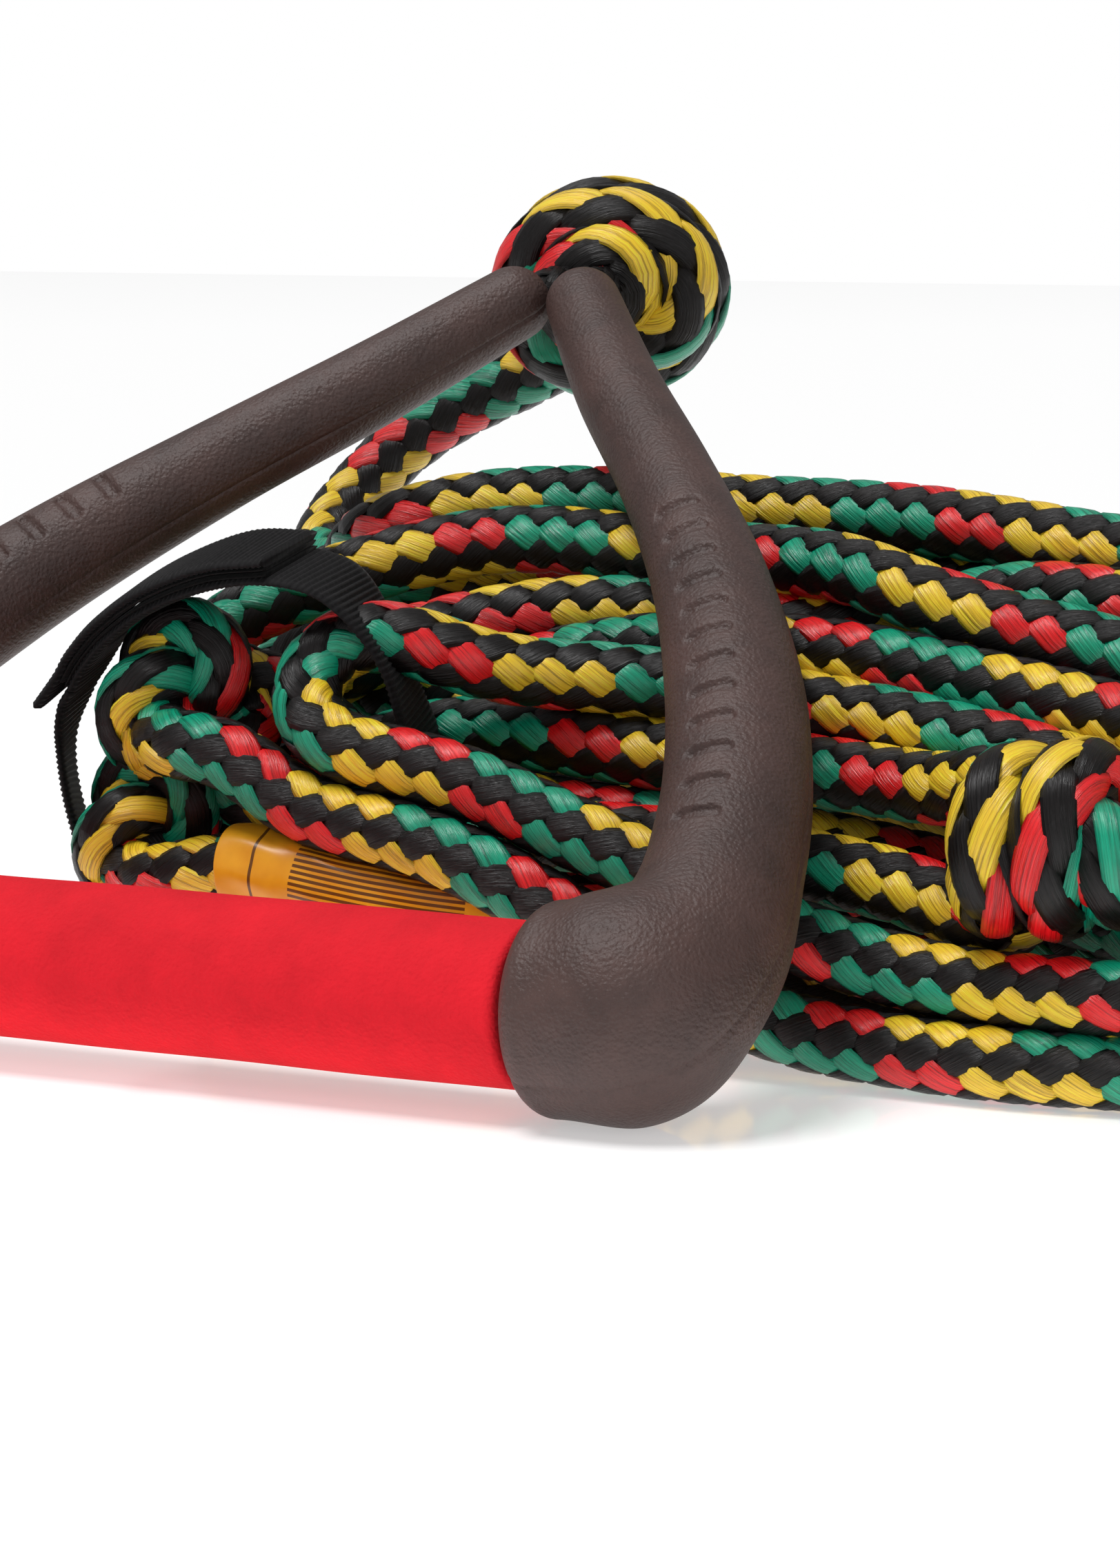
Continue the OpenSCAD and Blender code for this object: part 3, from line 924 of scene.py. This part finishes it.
def sleeve_material():
    """Shrunk film, with a plain printed panel of fine rules and a dark ring near its end."""
    made = Nodes("sleeve_film", FILM, 0.3)
    uv = made.node("ShaderNodeSeparateXYZ")
    source = made.node("ShaderNodeTexCoord")
    made.link(source.outputs["UV"], uv.inputs["Vector"])

    def maths(operation, a, b=None):
        """One sum on a socket and either a second socket or a number."""
        sum_node = made.node("ShaderNodeMath", operation=operation)
        made.link(a, sum_node.inputs[0])
        if isinstance(b, (int, float)):
            sum_node.inputs[1].default_value = b
        elif b is not None:
            made.link(b, sum_node.inputs[1])
        return sum_node.outputs[0]

    def between(value, low, high):
        return maths("MULTIPLY", maths("GREATER_THAN", value, low), maths("LESS_THAN", value, high))

    turn, along = uv.outputs["X"], uv.outputs["Y"]
    rule = maths("SINE", maths("MULTIPLY", turn, 2 * math.pi * RULES_ROUND))
    panel = maths("MULTIPLY", between(along, *PANEL_ALONG), between(turn, *PANEL_ROUND))
    rules = maths("MULTIPLY", panel, maths("GREATER_THAN", rule, -0.1))
    tint = made.node("ShaderNodeMix", data_type="RGBA")
    made.link(maths("MAXIMUM", rules, between(along, *RING_ALONG)), tint.inputs["Factor"])
    stain = made.noise(made.stretched("Object", (1, 1, 1)), 160.0)
    film = made.ramp(stain, [(0.3, (0.80, 0.34, 0.012)), (0.7, (0.93, 0.45, 0.02))])
    made.link(film, tint.inputs["A"])
    tint.inputs["B"].default_value = (*INK, 1)
    made.link(tint.outputs["Result"], made.shader.inputs["Base Color"])
    made.bump(stain, 0.15, 0.0004)
    return made.material


def make_sleeve():
    """The shrunk label sleeve, on the stretch of line that starts nearest to its left end."""
    def shrunk(x, a, r):
        over_strands = 0.22 * np.sin(8 * a + x / 4.0) * np.sin(x / 5.0)
        slack = 0.15 * np.sin(a + x / 14.0)
        return (over_strands + slack) * (r > 8.5)
    start = np.linalg.norm(line_centre - SLEEVE_FROM, axis=1).argmin()
    path = line_centre[start:start + int(SLEEVE_LEN / RING_STEP) + 2]
    outline = rounded_tube(SLEEVE_LEN, SLEEVE_R, SLEEVE_BORE, SLEEVE_EDGE, steps=70)
    made = lathe("sleeve", outline, path, sleeve_material(), wobble=shrunk)
    return ride(made, "line", ["label_sleeve"])


def strip_sides(path):
    """Across and up directions of a strip. A path's rows are x, y, z, and the yaw and tilt of
    the strip's width from the Y axis, in degrees."""
    yaw, tilt = np.radians(path[:, 3]), np.radians(path[:, 4])
    side = np.stack([-np.sin(yaw) * np.cos(tilt), np.cos(yaw) * np.cos(tilt), np.sin(tilt)], axis=1)
    t = tangents(path[:, :3])
    side = unit(side - t * (side * t).sum(1)[:, None])
    return side, np.cross(t, side)


RIBBON_STEP = 0.32
RIBBON_ACROSS = 14


def ribbon(name, path, width, thick, material, rib, rib_pitch=1.3):
    """A strip of webbing with ribs across it, along a path such as strip_sides reads."""
    fine = smooth(path, 24)
    along = lengths(fine[:, :3])
    at = np.linspace(0, along[-1], int(along[-1] / RIBBON_STEP))
    fine = np.stack([np.interp(at, along, fine[:, k]) for k in range(5)], axis=1)
    line = fine[:, :3]
    side, up = strip_sides(fine)
    x = np.linspace(-0.5, 0.5, RIBBON_ACROSS + 1)
    edge = np.sqrt(np.clip(1 - (np.abs(x) / 0.5) ** 14, 0.05, 1))
    ribs = rib * np.cos(2 * math.pi * at / rib_pitch)
    top = (thick / 2 + ribs[:, None] * (1 - (2 * x[None]) ** 8)) * edge[None]
    xs = np.concatenate([x, x[::-1]])
    heights = np.concatenate([top, -top[:, ::-1]], axis=1)
    verts = line[:, None] + width * xs[None, :, None] * side[:, None] + heights[..., None] * up[:, None]
    rings, sides = verts.shape[:2]
    uv = np.stack([np.tile(xs * width * MM, rings), np.repeat(at * MM, sides)], axis=1)
    return piece(name, verts.reshape(-1, 3), capped_faces(rings, sides), [material], uv=uv)


def raised(path, by):
    """The path of a strip that lies on another, by mm above it."""
    p = np.asarray(path, float)
    _, up = strip_sides(p)
    p[:, :3] += by * up
    return p


STRAP_W = 25
STRAP_T = 1.8
WEB_RIB = 0.3
PATCH_W = STRAP_W - 2
PATCH_T = 1.0
PATCH_PITCH = 0.9
# How far above the band's middle the pile, the hooks and the tail lie
PILE_UP, HOOKS_UP, TAIL_UP = 1.3, 2.6, 4.0
# The band goes over the bundle from left to right, then down, back under it and up
STRAP_OVER = [(-54, 69, 70, 14, 12), (-50, 69, 75.5, 10, 15), (-43, 69, 82, 5, 17),
              (-32, 69, 88.5, 0, 17), (-17, 69, 93.8, 0, 16), (-3, 69.5, 94.8, 0, 12)]
STRAP_DOWN = [(8, 71, 91.5, 8, 8), (16, 74, 81, 16, 2), (20, 77, 69, 18, 0), (21, 80, 54, 10, 0),
              (12, 80, 34, 0, 0), (-8, 78, 20, 0, 0), (-28, 74, 14, 0, 0), (-43, 70, 18, 15, 0),
              (-52, 69, 28, 28, 0), (-58, 69, 42, 30, 0), (-60, 69, 55, 28, 2),
              (-57.5, 69, 64.5, 18, 8), (-54.3, 69, 69.5, 14, 12)]
STRAP_TIP = (-59, 69, 64, 16, 10)


def make_strap():
    """The band round the bundle with its pile patch, and the tail with its hooks lying on it."""
    band = ribbon("strap_band_web", STRAP_OVER + STRAP_DOWN, STRAP_W, STRAP_T, webbing, WEB_RIB)
    ride(band, "line", ["strap_band"])
    pile = ribbon("strap_pile", raised(STRAP_OVER, PILE_UP), PATCH_W, PATCH_T, fuzz, 0.05, PATCH_PITCH)
    ride(pile, "line", ["loop_patch"])
    hooks = ribbon("strap_hooks", raised(STRAP_OVER, HOOKS_UP), PATCH_W, PATCH_T, fuzz, 0.12, PATCH_PITCH)
    ride(hooks, "strap_end", ["hook_patch"])
    tail_path = raised([STRAP_TIP] + STRAP_OVER, TAIL_UP)
    tail = ribbon("strap_tail_web", tail_path, STRAP_W, STRAP_T, webbing, WEB_RIB)
    ride(tail, "strap_end", ["strap_tail"])


BRIDLE_D = 8.0
BRIDLE_LEAD = 38.0
BRIDLE_ROOT = (3.5, 202.0, 151.0)
# The bridle between the knot and an arm's tip, and along the bar, in the handle's plane
BRIDLE_ENDS = [(4.3, 223.5, -4), (4.3, 220, -1.5)]
BRIDLE_IN_BAR = (75, 50, 25, 0)


def make_bridle():
    """The rope through both arms and the bar, from the apex knot and back to it."""
    middles = (ARM_EDGES[:, :2] + ARM_EDGES[:, 2:]) / 2
    leg = [np.array(BRIDLE_ROOT)] + [lifted(*end) for end in BRIDLE_ENDS]
    leg += [lifted(u, v, 0) for u, v in middles]
    leg += [lifted(u, 0, 0) for u in BRIDLE_IN_BAR]
    back = [p * (-1, 1, 1) for p in leg[-2::-1]]
    path = spaced(smooth(leg + back, 8), RING_STEP)
    strands = braid(path, BRIDLE_D, BRIDLE_LEAD)
    made = strand_piece("bridle_braid", [(verts, uv, CORE_BLACK) for verts, uv, _ in strands])
    return ride(made, "handle", ["bridle_rope"])


WHIP_FROM, WHIP_TO = 133.5, 143.0
WHIP_R = 6.9
TWINE_R = 0.55
TWINE_SIDES = 8


def make_whipping():
    """Twine wound round the neck of the tow loop."""
    turns = (WHIP_TO - WHIP_FROM) / (2 * TWINE_R)
    a = np.linspace(0, 2 * math.pi * turns, int(turns * 40))
    x = np.linspace(WHIP_FROM + TWINE_R, WHIP_TO - TWINE_R, len(a))
    path = np.stack([x, TOW_Y + WHIP_R * np.cos(a), LINE_D / 2 + WHIP_R * np.sin(a)], axis=1)
    _, n, b = frames(path)
    k = np.arange(TWINE_SIDES) * 2 * math.pi / TWINE_SIDES
    out = np.cos(k)[None, :, None] * n[:, None] + np.sin(k)[None, :, None] * b[:, None]
    verts = path[:, None] + TWINE_R * out
    faces = capped_faces(len(path), TWINE_SIDES)
    turn = np.tile(k / (2 * math.pi), len(path))
    uv = np.stack([turn, np.repeat(lengths(path) * MM, TWINE_SIDES)], axis=1)
    made = piece("whipping", verts.reshape(-1, 3), faces, [strand_materials[CORE_BLACK]], uv=uv)
    return ride(made, "line", ["tow_knot_band"])


def paint(node, material):
    """Gives a CAD node that stays visible its material."""
    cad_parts[node].data.materials.clear()
    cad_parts[node].data.materials.append(material)


for side, mirrored in (("left", True), ("right", False)):
    make_arm_half(f"arm_{side}_front_shell", f"arm_{side}_front", mirrored, True)
    make_arm_half(f"arm_{side}_back_shell", f"arm_{side}_back", mirrored, False)
grip = make_grip()
sleeve = make_sleeve()
make_strap()
make_bridle()
whipping = make_whipping()
paint("bar_tube", alloy.material)
paint("end_cap_left", nylon.material)
paint("end_cap_right", nylon.material)

# ---------------------------------------------------------------- floor and light

FLOOR_SIZE = 12
FLOOR_DROP = 0.0002
FLOOR_WHITE = (0.93, 0.93, 0.93)
FLOOR_GLOW = 0.42
WORLD_LIGHT = 0.34
WORLD_SEEN = 1.0
SUN_POWER = 2.2
SUN_SPREAD = math.radians(26)
SUN_TURN = (math.radians(12), math.radians(-14), 0)
FILL_AT, FILL_TARGET = (1.2, -1.1, 0.7), (0.05, 0.03, 0.06)
FILL_SIZE = (0.8, 0.8)
FILL_POWER = 3


def make_floor():
    """A glossy white floor that glows slightly, so that it shows as plain white."""
    bpy.ops.mesh.primitive_plane_add(size=FLOOR_SIZE, location=(0, 0, -FLOOR_DROP))
    floor = bpy.context.active_object
    floor.name = "floor"
    made = Nodes("floor_white", FLOOR_WHITE, 0.12)
    made.shader.inputs["Specular IOR Level"].default_value = 0.3
    made.shader.inputs["Emission Color"].default_value = (1, 1, 1, 1)
    made.shader.inputs["Emission Strength"].default_value = FLOOR_GLOW
    floor.data.materials.append(made.material)


def area_light(name, at, target, size, power):
    """A flat lamp that faces a target."""
    data = bpy.data.lights.new(name, "AREA")
    data.shape = "RECTANGLE"
    data.size, data.size_y = size
    data.energy = power
    lamp = bpy.data.objects.new(name, data)
    lamp.location = at
    lamp.rotation_euler = (Vector(at) - Vector(target)).to_track_quat("Z", "Y").to_euler()
    bpy.context.scene.collection.objects.link(lamp)


def make_world():
    """White all round, brighter where the camera sees it than as light on the object."""
    world = bpy.data.worlds.new("studio")
    world.use_nodes = True
    tree = world.node_tree
    soft = tree.nodes["Background"]
    soft.inputs["Color"].default_value = (1, 1, 1, 1)
    soft.inputs["Strength"].default_value = WORLD_LIGHT
    seen = tree.nodes.new("ShaderNodeBackground")
    seen.inputs["Color"].default_value = (1, 1, 1, 1)
    seen.inputs["Strength"].default_value = WORLD_SEEN
    rays = tree.nodes.new("ShaderNodeLightPath")
    mix = tree.nodes.new("ShaderNodeMixShader")
    tree.links.new(rays.outputs["Is Camera Ray"], mix.inputs["Fac"])
    tree.links.new(soft.outputs[0], mix.inputs[1])
    tree.links.new(seen.outputs[0], mix.inputs[2])
    tree.links.new(mix.outputs[0], tree.nodes["World Output"].inputs["Surface"])
    bpy.context.scene.world = world


def make_light():
    make_world()
    sun = bpy.data.lights.new("sun", "SUN")
    sun.energy = SUN_POWER
    sun.angle = SUN_SPREAD
    lamp = bpy.data.objects.new("sun", sun)
    lamp.rotation_euler = SUN_TURN
    bpy.context.scene.collection.objects.link(lamp)
    area_light("fill", FILL_AT, FILL_TARGET, FILL_SIZE, FILL_POWER)
    bpy.context.scene.view_settings.view_transform = "Standard"


make_floor()
make_light()
